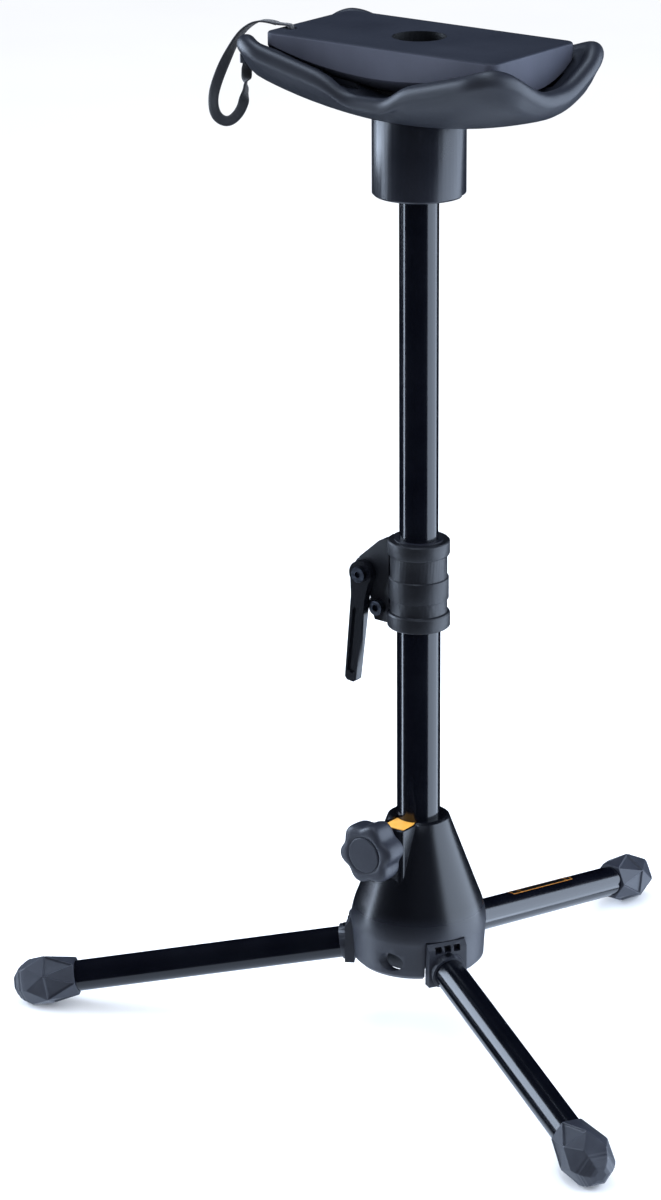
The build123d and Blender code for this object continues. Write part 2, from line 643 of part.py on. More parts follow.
# ---- lift-out block -----------------------------------------------------------------------
EYELET_X, EYELET_Y = -80.0, -27.0
with BuildPart() as insert_block:
    with BuildSketch(Plane.XY.offset(BLOCK_TOP - BLOCK_DEPTH - 2)):
        RectangleRounded(BLOCK_L, BLOCK_W, 7.0)
        Circle(BLOCK_HOLE_R, mode=Mode.SUBTRACT)
        with Locations((EYELET_X, EYELET_Y)):
            Circle(4.0, mode=Mode.SUBTRACT)
    extrude(amount=BLOCK_DEPTH + 2)
    top_edges = insert_block.faces().sort_by(Axis.Z)[-1].outer_wire().edges()
    fillet(top_edges, 1.5)
    add(block_form, mode=Mode.INTERSECT)
write(insert_block, "insert_block")

with BuildPart() as strap_eyelet:
    with BuildSketch(Plane.XY.offset(BLOCK_TOP - 7.0)):
        with Locations((EYELET_X, EYELET_Y)):
            Circle(3.95)
            Circle(2.6, mode=Mode.SUBTRACT)
    extrude(amount=7.3)
write(strap_eyelet, "strap_eyelet")

# short stitched tab that leads the strap from the eyelet over the block's edge
with BuildPart() as strap_tab:
    with BuildSketch(Plane.XZ.offset(-EYELET_Y - 3.0)):
        with BuildLine():
            Polyline((-78.6, BLOCK_TOP - 5.0), (-78.6, BLOCK_TOP + 1.0), (-80.0, BLOCK_TOP + 2.6),
                     (-89.2, BLOCK_TOP + 2.6), (-89.2, BLOCK_TOP + 1.2), (-80.8, BLOCK_TOP + 1.2),
                     (-80.2, BLOCK_TOP + 0.6), (-80.2, BLOCK_TOP - 5.0), (-78.6, BLOCK_TOP - 5.0))
        make_face()
    extrude(amount=6.0)
    with BuildSketch(Plane.XY.offset(BLOCK_TOP + 0.4)):
        with Locations((EYELET_X, EYELET_Y)):
            Circle(30.0)
            Circle(2.5, mode=Mode.SUBTRACT)
    extrude(amount=-20.0, mode=Mode.SUBTRACT)
write(strap_tab, "strap_tab")

# ---- tether strap between the block and the cradle ----------------------------------------
STRAP_ROUTE = [
    (-89.9, -27.5, 670.8), (-97.0, -30.0, 672.6), (-104.5, -34.0, 670.6), (-111.5, -38.5, 663.5),
    (-116.0, -43.5, 652.0), (-119.5, -49.5, 638.5), (-120.5, -55.5, 625.0), (-116.5, -58.0, 613.5),
    (-108.5, -54.5, 609.5), (-103.5, -47.5, 617.0), (-106.5, -39.0, 628.0), (-109.6, -34.2, 636.5),
    (-109.7, -34.0, 644.9),
]


def corner_radii(points, share=0.45):
    """For each inner point, share of the shorter run divided by the tangent of half the turn."""
    radii = []
    for before, corner, after in zip(points, points[1:], points[2:]):
        come, leave = corner - before, after - corner
        turn_angle = radians(come.get_angle(leave))
        radii.append(share * min(come.length, leave.length) / tan(turn_angle / 2))
    return radii


route = [Vector(*point) for point in STRAP_ROUTE]
strap_radii = corner_radii(route)
print("strap arc radii", [round(radius, 1) for radius in strap_radii])
with BuildPart() as strap:
    with BuildLine() as strap_path:
        FilletPolyline(*route, radius=strap_radii)
    with BuildSketch(Plane(origin=route[0], z_dir=route[1] - route[0])):
        Circle(STRAP_R)
    sweep(path=strap_path.wires()[0])
strap_length = strap_path.wires()[0].length
print("strap length", round(strap_length, 1), "volume", round(strap.part.volume, 1),
      "section x length", round(pi * STRAP_R ** 2 * strap_length, 1))
write(strap, "strap")

# lug on the cradle's end that the strap is fixed under
with BuildPart() as strap_anchor:
    with BuildSketch(Plane.YZ.offset(-CRADLE_L / 2 - 0.02)):
        with Locations((-34.0, 648.0)):
            Rectangle(9.0, 6.0)
    extrude(amount=-5.0)
    fillet(strap_anchor.faces().sort_by(Axis.X)[0].edges(), 1.0)
write(strap_anchor, "strap_anchor")
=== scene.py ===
import math

import bmesh
import bpy
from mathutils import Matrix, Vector


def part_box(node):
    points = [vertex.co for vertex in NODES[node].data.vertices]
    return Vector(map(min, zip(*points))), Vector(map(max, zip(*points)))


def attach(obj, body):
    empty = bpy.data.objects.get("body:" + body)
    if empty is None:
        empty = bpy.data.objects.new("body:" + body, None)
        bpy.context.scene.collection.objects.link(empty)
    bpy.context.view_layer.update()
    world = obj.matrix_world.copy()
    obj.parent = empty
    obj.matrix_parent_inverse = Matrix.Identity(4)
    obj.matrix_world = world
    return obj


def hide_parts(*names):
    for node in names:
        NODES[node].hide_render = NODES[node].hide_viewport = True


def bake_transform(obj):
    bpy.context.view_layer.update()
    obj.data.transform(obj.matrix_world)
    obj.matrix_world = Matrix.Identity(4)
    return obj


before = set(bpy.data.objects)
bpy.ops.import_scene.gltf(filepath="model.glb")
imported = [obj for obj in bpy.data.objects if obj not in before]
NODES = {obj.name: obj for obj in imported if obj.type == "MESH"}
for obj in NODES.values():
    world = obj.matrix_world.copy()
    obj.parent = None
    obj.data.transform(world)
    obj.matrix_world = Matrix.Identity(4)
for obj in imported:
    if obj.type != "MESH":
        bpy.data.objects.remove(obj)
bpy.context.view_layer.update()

CRADLE_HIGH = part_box("cradle_shell")[1]
UP = Vector((0, 0, 1))
IMAGE_H = 1200

# Dimensions repeated from part.py, in metres.
LEG_AZIMUTHS = {"rear": 90, "left": 210, "right": 330}
LEG_TILT = math.radians(10.7)
MEET_Z = 0.0644
LEG_R = 0.0105
BOOT_START = 0.235
KNOB_Z = 0.140
KNOB_LOBE, KNOB_TURN = 0.0017, math.radians(12)
LABEL_START, LABEL_HALF_WIDTH = 0.108, 0.0031
HUB_CREASE = 0.078
SADDLE_ROCK, SADDLE_ROLL, SADDLE_PIVOT_Z = 0.3075, 0.0690, 0.9402
CRADLE_DEPTH = 0.0187
BLOCK_HOLE_R = 0.0167
SIDE_POCKET, SIDE_POCKET_Z = (0.026, 0.018, 0.052), 0.6400
END_POCKET, END_POCKET_Z = (0.024, 0.020, 0.056), 0.6375
SIDE_DIP_Z, END_DIP_Z, LIP_R, CRADLE_CORNER_R = 0.6400, 0.6475, 0.0066, 0.030


# ---- camera --------------------------------------------------------------------------------
CAM_AZIMUTH = math.radians(36.0)
CAM_PITCH = math.radians(19.2)
CAM_YAW = math.radians(0.177)
CAM_DISTANCE = 2.605
CAM_TARGET = Vector((0, 0, 0.2990))
RIGHT = Vector((math.cos(CAM_AZIMUTH), math.sin(CAM_AZIMUTH), 0))
AWAY = Vector((-math.sin(CAM_AZIMUTH), math.cos(CAM_AZIMUTH), 0))


def make_camera():
    """The photograph's viewpoint: 19 degrees down, 36 degrees round from the clamp knob."""
    data = bpy.data.cameras.new("camera")
    data.lens = 120.3
    data.sensor_width = 36
    data.shift_x = -76.5 / IMAGE_H
    data.clip_start = 0.05
    data.clip_end = 200
    cam = bpy.data.objects.new("camera", data)
    bpy.context.scene.collection.objects.link(cam)
    cam.location = CAM_TARGET + CAM_DISTANCE * (UP * math.sin(CAM_PITCH) - AWAY * math.cos(CAM_PITCH))
    heading = AWAY * math.cos(CAM_YAW) - RIGHT * math.sin(CAM_YAW)
    forward = heading * math.cos(CAM_PITCH) - UP * math.sin(CAM_PITCH)
    cam.rotation_mode = "QUATERNION"
    cam.rotation_quaternion = forward.to_track_quat("-Z", "Y")
    bpy.context.scene.camera = cam


# ---- materials -----------------------------------------------------------------------------
def node_tree(name):
    """A new material with its node list, links and principled shader."""
    mat = bpy.data.materials.new(name)
    mat.use_nodes = True
    nodes, links = mat.node_tree.nodes, mat.node_tree.links
    return mat, nodes, links, nodes["Principled BSDF"]


def noise(nodes, links, coords, scale, detail=4.0, stretch=(1, 1, 1)):
    """A noise texture in object space, stretched along the axes."""
    mapping = nodes.new("ShaderNodeMapping")
    mapping.inputs["Scale"].default_value = stretch
    links.new(coords, mapping.inputs["Vector"])
    tex = nodes.new("ShaderNodeTexNoise")
    tex.inputs["Scale"].default_value = scale
    tex.inputs["Detail"].default_value = detail
    links.new(mapping.outputs["Vector"], tex.inputs["Vector"])
    return tex.outputs["Fac"]


def ramp(nodes, links, source, low, high, start=0.3, end=0.7):
    """A two-colour ramp."""
    node = nodes.new("ShaderNodeValToRGB")
    node.color_ramp.elements[0].position = start
    node.color_ramp.elements[1].position = end
    node.color_ramp.elements[0].color = (*low, 1)
    node.color_ramp.elements[1].color = (*high, 1)
    links.new(source, node.inputs["Fac"])
    return node.outputs["Color"]


def spread(nodes, links, source, low, high):
    """Maps a noise to a narrow range of values."""
    node = nodes.new("ShaderNodeMapRange")
    node.inputs["From Min"].default_value = 0.25
    node.inputs["From Max"].default_value = 0.75
    node.inputs["To Min"].default_value = low
    node.inputs["To Max"].default_value = high
    links.new(source, node.inputs["Value"])
    return node.outputs["Result"]


def bump(nodes, links, source, strength, distance, under=None):
    """A bump node over an earlier normal."""
    node = nodes.new("ShaderNodeBump")
    node.inputs["Strength"].default_value = strength
    node.inputs["Distance"].default_value = distance
    links.new(source, node.inputs["Height"])
    if under is not None:
        links.new(under, node.inputs["Normal"])
    return node.outputs["Normal"]


def surface(name, low, high, rough, grain, depth, blotch=35.0, stretch=(1, 1, 1), **sockets):
    """A moulded or coated surface: blotchy colour, uneven gloss and a fine grain in relief."""
    mat, nodes, links, shader = node_tree(name)
    coords = nodes.new("ShaderNodeTexCoord").outputs["Object"]
    wide = noise(nodes, links, coords, blotch, 5.0, stretch)
    fine = noise(nodes, links, coords, grain, 3.0, stretch)
    links.new(ramp(nodes, links, wide, low, high), shader.inputs["Base Color"])
    links.new(spread(nodes, links, wide, rough[0], rough[1]), shader.inputs["Roughness"])
    relief = bump(nodes, links, fine, 0.6, depth)
    links.new(bump(nodes, links, wide, 0.25, depth * 2, relief), shader.inputs["Normal"])
    for socket, value in sockets.items():
        shader.inputs[socket.replace("_", " ")].default_value = value
    return mat


def gloss_paint():
    """Gloss black powder coat with a faint orange peel."""
    return surface("gloss_paint", (0.0014, 0.0017, 0.0034), (0.0022, 0.0027, 0.0050),
                   (0.13, 0.18), 420.0, 0.00002, Specular_IOR_Level=0.5)


def hub_plastic():
    """Hub moulding: a glossier cone that turns into a duller skirt across the crease."""
    mat, nodes, links, shader = node_tree("hub_plastic")
    coords = nodes.new("ShaderNodeTexCoord").outputs["Object"]
    split = nodes.new("ShaderNodeSeparateXYZ")
    links.new(coords, split.inputs["Vector"])
    height = nodes.new("ShaderNodeMapRange")
    height.inputs["From Min"].default_value = HUB_CREASE - 0.006
    height.inputs["From Max"].default_value = HUB_CREASE + 0.014
    links.new(split.outputs["Z"], height.inputs["Value"])
    wide = noise(nodes, links, coords, 40.0, 5.0)
    fine = noise(nodes, links, coords, 2400.0, 3.0)
    links.new(ramp(nodes, links, height.outputs["Result"], (0.0155, 0.0180, 0.0265),
                   (0.0020, 0.0024, 0.0042), 0.0, 1.0), shader.inputs["Base Color"])
    links.new(spread(nodes, links, height.outputs["Result"], 0.46, 0.26),
              shader.inputs["Roughness"])
    relief = bump(nodes, links, fine, 0.5, 0.00003)
    links.new(bump(nodes, links, wide, 0.2, 0.00005, relief), shader.inputs["Normal"])
    return mat


def matte_plastic(name="matte_plastic", tone=1.0):
    """Black moulding with a spark-eroded grain."""
    low = tuple(tone * v for v in (0.0070, 0.0085, 0.0145))
    high = tuple(tone * v for v in (0.0110, 0.0130, 0.0205))
    return surface(name, low, high, (0.40, 0.52), 2600.0, 0.00006, Specular_IOR_Level=0.5)


def satin_plastic():
    """Smooth satin moulding of the cradle and its housing."""
    return surface("satin_plastic", (0.0045, 0.0056, 0.0100), (0.0075, 0.0090, 0.0150),
                   (0.27, 0.36), 1500.0, 0.00003, blotch=22.0, Specular_IOR_Level=0.5)


def cradle_plastic():
    """The cradle's moulding, a little duller than its housing."""
    return surface("cradle_plastic", (0.0085, 0.0105, 0.0175), (0.0125, 0.0150, 0.0235),
                   (0.42, 0.52), 1500.0, 0.00004, blotch=22.0, Specular_IOR_Level=0.5)


def beyond_bore(nodes, links, coords):
    """0 inside the block's centre hole and 1 outside it; the mask for the painted shade in the hole."""
    radial = nodes.new("ShaderNodeVectorMath")
    radial.operation = "MULTIPLY"
    radial.inputs[1].default_value = (1, 1, 0)
    links.new(coords, radial.inputs[0])
    length = nodes.new("ShaderNodeVectorMath")
    length.operation = "LENGTH"
    links.new(radial.outputs["Vector"], length.inputs[0])
    bore = nodes.new("ShaderNodeMapRange")
    bore.inputs["From Min"].default_value = BLOCK_HOLE_R
    bore.inputs["From Max"].default_value = BLOCK_HOLE_R + 0.0006
    links.new(length.outputs["Value"], bore.inputs["Value"])
    return bore.outputs["Result"]


def block_foam():
    """Lift-out block: a dark top, sides painted paler as painted side light, a fine upright grain, and
    painted shade darkening the centre hole.
    """
    mat, nodes, links, shader = node_tree("block_foam")
    tex = nodes.new("ShaderNodeTexCoord")
    split = nodes.new("ShaderNodeSeparateXYZ")
    links.new(tex.outputs["Normal"], split.inputs["Vector"])
    wide = noise(nodes, links, tex.outputs["Object"], 70.0, 6.0, (0.3, 0.3, 0.12))
    fine = noise(nodes, links, tex.outputs["Object"], 1700.0, 3.0, (1, 1, 0.12))
    top = ramp(nodes, links, wide, (0.0125, 0.0155, 0.0255), (0.0165, 0.0200, 0.0320))
    # Painted side light: faces that point sideways get a paler colour than the top, as if lit from the
    # side.
    side = ramp(nodes, links, wide, (0.0330, 0.0370, 0.0540), (0.0560, 0.0610, 0.0850))
    painted_side_light_mix = nodes.new("ShaderNodeMix")
    painted_side_light_mix.data_type = "RGBA"
    links.new(spread(nodes, links, split.outputs["Z"], 0.0, 1.0), painted_side_light_mix.inputs["Factor"])
    links.new(side, painted_side_light_mix.inputs["A"])
    links.new(top, painted_side_light_mix.inputs["B"])
    outside = beyond_bore(nodes, links, tex.outputs["Object"])
    # Painted shade: the inside of the centre hole is painted nearly black, standing for the shade in
    # the bore.
    shade = nodes.new("ShaderNodeMix")
    shade.data_type = "RGBA"
    shade.inputs["A"].default_value = (0.0014, 0.0017, 0.0026, 1)
    links.new(outside, shade.inputs["Factor"])
    links.new(painted_side_light_mix.outputs["Result"], shade.inputs["B"])
    links.new(shade.outputs["Result"], shader.inputs["Base Color"])
    links.new(spread(nodes, links, wide, 0.52, 0.66), shader.inputs["Roughness"])
    links.new(bump(nodes, links, fine, 0.55, 0.00010), shader.inputs["Normal"])
    shader.inputs["Specular IOR Level"].default_value = 0.22
    return mat


def boot_rubber():
    """Matte rubber, a little uneven in tone."""
    return surface("boot_rubber", (0.0135, 0.0160, 0.0250), (0.0200, 0.0235, 0.0350),
                   (0.40, 0.52), 1900.0, 0.00006, blotch=90.0, Specular_IOR_Level=0.5)


def orange_plastic():
    """The clamp shoe's orange nylon."""
    return surface("orange_plastic", (0.80, 0.36, 0.045), (0.92, 0.47, 0.085),
                   (0.34, 0.46), 1400.0, 0.00004, blotch=120.0)


def pad_rubber():
    """Soft seat pad."""
    return surface("pad_rubber", (0.0050, 0.0055, 0.0070), (0.0090, 0.0100, 0.0120),
                   (0.70, 0.85), 1200.0, 0.00012, Specular_IOR_Level=0.3)


def metal(name, low, high, rough):
    """Machined or plated metal with fine turning marks."""
    return surface(name, low, high, rough, 1800.0, 0.00003, blotch=140.0, stretch=(1, 1, 4),
                   Metallic=1.0)


def label_orange():
    """Printed orange line of the label."""
    return surface("label_orange", (0.62, 0.26, 0.045), (0.78, 0.36, 0.075),
                   (0.26, 0.38), 900.0, 0.00001, blotch=300.0)


def label_black():
    """Printed black ground of the label."""
    return surface("label_black", (0.0050, 0.0058, 0.0080), (0.0080, 0.0090, 0.0120),
                   (0.26, 0.36), 900.0, 0.00001, blotch=300.0)


def webbing():
    """Flat woven nylon: a fine herringbone in relief over the ribbon's own UVs."""
    mat, nodes, links, shader = node_tree("webbing")
    uv = nodes.new("ShaderNodeUVMap")
    uv.uv_map = "weave"
    relief, shade = None, None
    for turn in (0.62, -0.62):
        mapping = nodes.new("ShaderNodeMapping")
        mapping.inputs["Rotation"].default_value = (0, 0, turn)
        links.new(uv.outputs["UV"], mapping.inputs["Vector"])
        wave = nodes.new("ShaderNodeTexWave")
        wave.inputs["Scale"].default_value = 420.0
        wave.inputs["Distortion"].default_value = 0.6
        links.new(mapping.outputs["Vector"], wave.inputs["Vector"])
        relief = bump(nodes, links, wave.outputs["Fac"], 0.7, 0.00018, relief)
        shade = wave.outputs["Fac"]
    links.new(ramp(nodes, links, shade, (0.0040, 0.0050, 0.0085), (0.0110, 0.0130, 0.0200)),
              shader.inputs["Base Color"])
    links.new(spread(nodes, links, shade, 0.62, 0.78), shader.inputs["Roughness"])
    links.new(relief, shader.inputs["Normal"])
    shader.inputs["Sheen Weight"].default_value = 0.35
    shader.inputs["Sheen Roughness"].default_value = 0.45
    return mat


def floor_finish():
    """Pale studio floor, barely mottled."""
    mat, nodes, links, shader = node_tree("floor")
    coords = nodes.new("ShaderNodeTexCoord").outputs["Object"]
    tone = noise(nodes, links, coords, 3.0, 2.0)
    links.new(ramp(nodes, links, tone, (0.90, 0.90, 0.90), (0.92, 0.92, 0.92)),
              shader.inputs["Base Color"])
    shader.inputs["Roughness"].default_value = 0.85
    shader.inputs["Specular IOR Level"].default_value = 0.1
    return mat


# ---- mesh helpers --------------------------------------------------------------------------
def finished(name, bm, mat, body, replaced=()):
    """Turns a bmesh into a smooth-shaded piece that rides on a body."""
    bmesh.ops.recalc_face_normals(bm, faces=bm.faces)
    mesh = bpy.data.meshes.new(name)
    bm.to_mesh(mesh)
    bm.free()
    for poly in mesh.polygons:
        poly.use_smooth = True
    piece = bpy.data.objects.new(name, mesh)
    bpy.context.scene.collection.objects.link(piece)
    mesh.materials.append(mat)
    if body:
        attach(piece, body)
    if replaced:
        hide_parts(*replaced)
    return piece


def bevelled(piece, width, segments=2, angle=30):
    """Rounds a piece's edges."""
    mod = piece.modifiers.new("bevel", "BEVEL")
    mod.width = width
    mod.segments = segments
    mod.limit_method = "ANGLE"
    mod.angle_limit = math.radians(angle)
    mod.harden_normals = True
    return piece


def rings(bm, sections, closed=True, cap=True):
    """Skins a list of equal vertex rings, and closes the two ends."""
    made = [[bm.verts.new(p) for p in ring] for ring in sections]
    count = len(made[0])
    last = count if closed else count - 1
    for a, b in zip(made, made[1:]):
        for i in range(last):
            j = (i + 1) % count
            bm.faces.new((a[i], a[j], b[j], b[i]))
    if cap:
        bm.faces.new(made[0])
        bm.faces.new(list(reversed(made[-1])))
    return made


def leg_frame(leg):
    """Origin, along, side and top directions of a leg."""
    turn = math.radians(LEG_AZIMUTHS[leg])
    out = Vector((math.cos(turn), math.sin(turn), 0))
    along = out * math.cos(LEG_TILT) - UP * math.sin(LEG_TILT)
    side = Vector((math.sin(turn), -math.cos(turn), 0))
    top = out * math.sin(LEG_TILT) + UP * math.cos(LEG_TILT)
    return Vector((0, 0, MEET_Z)), along, side, top


# ---- strap ---------------------------------------------------------------------------------
STRAP_ROUTE = [
    (-0.0899, -0.0275, 0.6708), (-0.0970, -0.0300, 0.6726), (-0.1045, -0.0340, 0.6706),
    (-0.1115, -0.0385, 0.6635), (-0.1160, -0.0435, 0.6520), (-0.1195, -0.0495, 0.6385),
    (-0.1205, -0.0555, 0.6250), (-0.1165, -0.0580, 0.6135), (-0.1085, -0.0545, 0.6095),
    (-0.1035, -0.0475, 0.6170), (-0.1065, -0.0390, 0.6280), (-0.1096, -0.0342, 0.6365),
    (-0.1097, -0.0340, 0.6449),
]
STRAP_WIDTH, STRAP_THICK = 0.0068, 0.0011
# direction of the ribbon's width at fractions of its length
STRAP_TURNS = [
    (0.00, (0.0, 1.0, 0.0)), (0.22, (0.15, 1.0, 0.0)), (0.42, (0.81, 0.75, 0.1)),
    (0.55, (0.70, 0.40, 0.45)), (0.66, (-0.20, 0.45, 0.90)), (0.78, (-0.80, -0.25, 0.30)),
    (0.87, (0.25, -0.95, 0.0)), (0.96, (0.70, 0.70, 0.0)), (1.00, (0.10, 1.00, 0.0)),
]


def smooth_line(points):
    """Points along the NURBS spline that has the given control points."""
    curve = bpy.data.curves.new("line", "CURVE")
    curve.dimensions = "3D"
    curve.resolution_u = 14
    spline = curve.splines.new("NURBS")
    spline.points.add(len(points) - 1)
    for slot, co in zip(spline.points, points):
        slot.co = (*co, 1)
    spline.order_u = 3
    spline.use_endpoint_u = True
    holder = bpy.data.objects.new("line", curve)
    mesh = bpy.data.meshes.new_from_object(holder)
    line = [v.co.copy() for v in mesh.vertices]
    bpy.data.objects.remove(holder)
    return line


def turned(fraction, turns):
    """Interpolates the list of width directions."""
    for (f0, d0), (f1, d1) in zip(turns, turns[1:]):
        if fraction <= f1:
            t = (fraction - f0) / (f1 - f0)
            t = t * t * (3 - 2 * t)
            return Vector(d0).lerp(Vector(d1), t)
    return Vector(turns[-1][1])


def ribbon_mesh(line, turns, width, thick):
    """A flat band with rounded edges along a line, with UVs in metres."""
    profile = [(-0.5, 0), (-0.46, 0.5), (-0.2, 0.5), (0.2, 0.5), (0.46, 0.5),
               (0.5, 0), (0.46, -0.5), (0.2, -0.5), (-0.2, -0.5), (-0.46, -0.5)]
    lengths = [0.0]
    for a, b in zip(line, line[1:]):
        lengths.append(lengths[-1] + (b - a).length)
    bm = bmesh.new()
    uv = bm.loops.layers.uv.new("weave")
    sections = []
    for i, p in enumerate(line):
        tangent = (line[min(i + 1, len(line) - 1)] - line[max(i - 1, 0)]).normalized()
        wide = turned(lengths[i] / lengths[-1], turns)
        wide = (wide - tangent * wide.dot(tangent)).normalized()
        flat = tangent.cross(wide)
        sections.append([p + wide * (width * a) + flat * (thick * b) for a, b in profile])
    made = rings(bm, sections)
    place = {v: (a * width, s) for ring, s in zip(made, lengths)
             for v, (a, b) in zip(ring, profile)}
    for face in bm.faces:
        for loop in face.loops:
            loop[uv].uv = place[loop.vert]
    return bm


def make_strap(mat):
    """The tether: a flat woven loop from the block's eyelet to the cradle's end."""
    line = smooth_line(STRAP_ROUTE)
    piece = finished("tether_strap", ribbon_mesh(line, STRAP_TURNS, STRAP_WIDTH, STRAP_THICK),
                     mat, None, ["strap"])
    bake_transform(piece)
    return piece


def make_strap_root(mat):
    """The strap's stitched start, from inside the eyelet over the block's edge."""
    low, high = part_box("strap_eyelet")
    x, y = (low.x + high.x) / 2, (low.y + high.y) / 2
    line = smooth_line([(x + 0.0012, y, high.z - 0.006), (x + 0.0012, y, high.z - 0.001),
                        (x + 0.0004, y, high.z + 0.0017), (x - 0.003, y, high.z + 0.0019),
                        (x - 0.007, y, high.z + 0.0016), STRAP_ROUTE[0],
                        (STRAP_ROUTE[0][0] - 0.002, STRAP_ROUTE[0][1], STRAP_ROUTE[0][2] + 0.0004)])
    return finished("tether_root", ribbon_mesh(line, [(0, (0, 1, 0)), (1, (0, 1, 0))], 0.0046,
                    0.0012), mat, "block", ["strap_tab"])


# ---- cradle and block ----------------------------------------------------------------------
def applied(piece):
    """Applies every modifier of a piece to its mesh."""
    depsgraph = bpy.context.evaluated_depsgraph_get()
    mesh = bpy.data.meshes.new_from_object(piece.evaluated_get(depsgraph))
    piece.modifiers.clear()
    piece.data = mesh
    for poly in mesh.polygons:
        poly.use_smooth = True
    return piece


def step_up(value, start, end):
    """Smooth rise from 0 at start to 1 at end."""
    t = min(1.0, max(0.0, (value - start) / (end - start)))
    return t * t * (3 - 2 * t)


def soft_min(a, b, width):
    """The lower of two values, with a rounded change from one to the other."""
    t = max(0.0, 1.0 - abs(a - b) / width)
    return min(a, b) - t * t * width / 4


def saddle_height(x, y, depth):
    """Height of the double-curved seat, or of a surface depth below it."""
    reach = SADDLE_ROCK - SADDLE_ROLL + math.sqrt(max(1e-6, (SADDLE_ROLL + depth) ** 2 - y * y))
    return SADDLE_PIVOT_Z - math.sqrt(reach * reach - x * x)


def rim_height(x, y):
    """Top of the cradle's rim: dips in the middle of each side, lobes at the corners."""
    x, y = abs(x), abs(y)
    side = SIDE_DIP_Z + 0.0110 * step_up(x, 0.010, 0.032) + 0.0185 * min(1, max(0, (x - 0.030) / 0.064))
    end = END_DIP_Z + 0.0220 * step_up(y, 0.006, 0.060)
    return soft_min(soft_min(side, end, 0.005), CRADLE_HIGH.z, 0.0015)


def cradle_outline():
    """Points and outward directions round the cradle's rounded rectangle."""
    straight = CRADLE_HIGH.xy - Vector((CRADLE_CORNER_R, CRADLE_CORNER_R))
    outline = []
    for k, (sx, sy) in enumerate(((1, 1), (-1, 1), (-1, -1), (1, -1))):
        centre = Vector((sx * straight.x, sy * straight.y))
        for i in range(15):
            a = math.radians(90 * (k + i / 14))
            out = Vector((math.cos(a), math.sin(a)))
            outline.append((centre + out * CRADLE_CORNER_R, out))
        steps = (24, 12)[k % 2]
        along = Vector((-2 * straight.x, 0)) if k % 2 == 0 else Vector((0, -2 * straight.y))
        if k >= 2:
            along = -along
        start, out = outline[-1]
        outline += [(start + along * (n / steps), out) for n in range(1, steps)]
    return outline


def cradle_section(rim, out):
    """One section of the bowl, from the middle of its floor over the lip and back underneath."""
    rim = rim.copy()
    top = rim_height(rim.x * 0.95, rim.y * 0.92)
    drop = (CRADLE_HIGH.z - top) / (CRADLE_HIGH.z - SIDE_DIP_Z)
    rim.y *= 1 - 0.14 * drop
    lip = LIP_R * (1 - 0.12 * drop)
    centre = rim - out * lip
    inner = centre - out * lip
    points = []
    for t in (0.06, 0.18, 0.32, 0.46, 0.58, 0.68, 0.77, 0.85, 0.92):
        q = inner * t
        cap = top - 0.0018 - (lip - 0.0018) * t ** 5
        points.append((q.x, q.y, soft_min(saddle_height(q.x, q.y, 0.0008), cap, 0.006)))
    for degrees in (172, 140, 115, 90, 65, 40, 10, -25, -58):
        a = math.radians(degrees)
        q = centre + out * (lip * math.cos(a))
        points.append((q.x, q.y, top - lip + lip * math.sin(a)))
    foot = centre + out * (lip * 0.35)
    for t in (0.97, 0.90, 0.78, 0.62, 0.44, 0.24, 0.06):
        q = foot * t
        points.append((q.x, q.y, saddle_height(q.x, q.y, CRADLE_DEPTH)))
    return points


def pocket_cutter():
    """Boxes for the lightening pockets under the block's long sides and ends."""
    bm = bmesh.new()
    side_z, end_z = SIDE_POCKET_Z + SIDE_POCKET[2] / 2, END_POCKET_Z + END_POCKET[2] / 2
    boxes = [((x, y, side_z), SIDE_POCKET) for x in (-0.030, 0, 0.030) for y in (-0.045, 0.045)]
    boxes += [((x, y, end_z), END_POCKET) for x in (-0.076, 0.076) for y in (-0.024, 0, 0.024)]
    for place, size in boxes:
        made = bmesh.ops.create_cube(bm, size=1.0)["verts"]
        bmesh.ops.scale(bm, vec=size, verts=made)
        bmesh.ops.translate(bm, vec=place, verts=made)
    bmesh.ops.bevel(bm, geom=[e for e in bm.edges if abs(e.verts[0].co.z - e.verts[1].co.z) > 0.01],
                    offset=0.003, segments=3, affect="EDGES")
    mesh = bpy.data.meshes.new("pocket_cutter")
    bm.to_mesh(mesh)
    bm.free()
    cutter = bpy.data.objects.new("pocket_cutter", mesh)
    bpy.context.scene.collection.objects.link(cutter)
    return cutter


def make_cradle(mat):
    """The moulded cradle: a four-lobed bowl with a thick rolled lip and pockets under the block."""
    bm = bmesh.new()
    made = rings(bm, [cradle_section(*spot) for spot in cradle_outline()], False, False)
    for i in range(len(made[0]) - 1):
        bm.faces.new((made[-1][i], made[-1][i + 1], made[0][i + 1], made[0][i]))
    bm.faces.new([ring[0] for ring in made])
    bm.faces.new([ring[-1] for ring in made])
    piece = finished("cradle_bowl", bm, mat, "cradle", ["cradle_shell"])
    sub = piece.modifiers.new("subdivision", "SUBSURF")
    sub.levels = sub.render_levels = 1
    applied(piece)
    cutter = pocket_cutter()
    cut = piece.modifiers.new("pockets", "BOOLEAN")
    cut.operation = "DIFFERENCE"
    cut.solver = "MANIFOLD"
    cut.object = cutter
    applied(piece)
    bpy.data.objects.remove(cutter)
    bevelled(piece, 0.0006, 2, 50)
    return piece


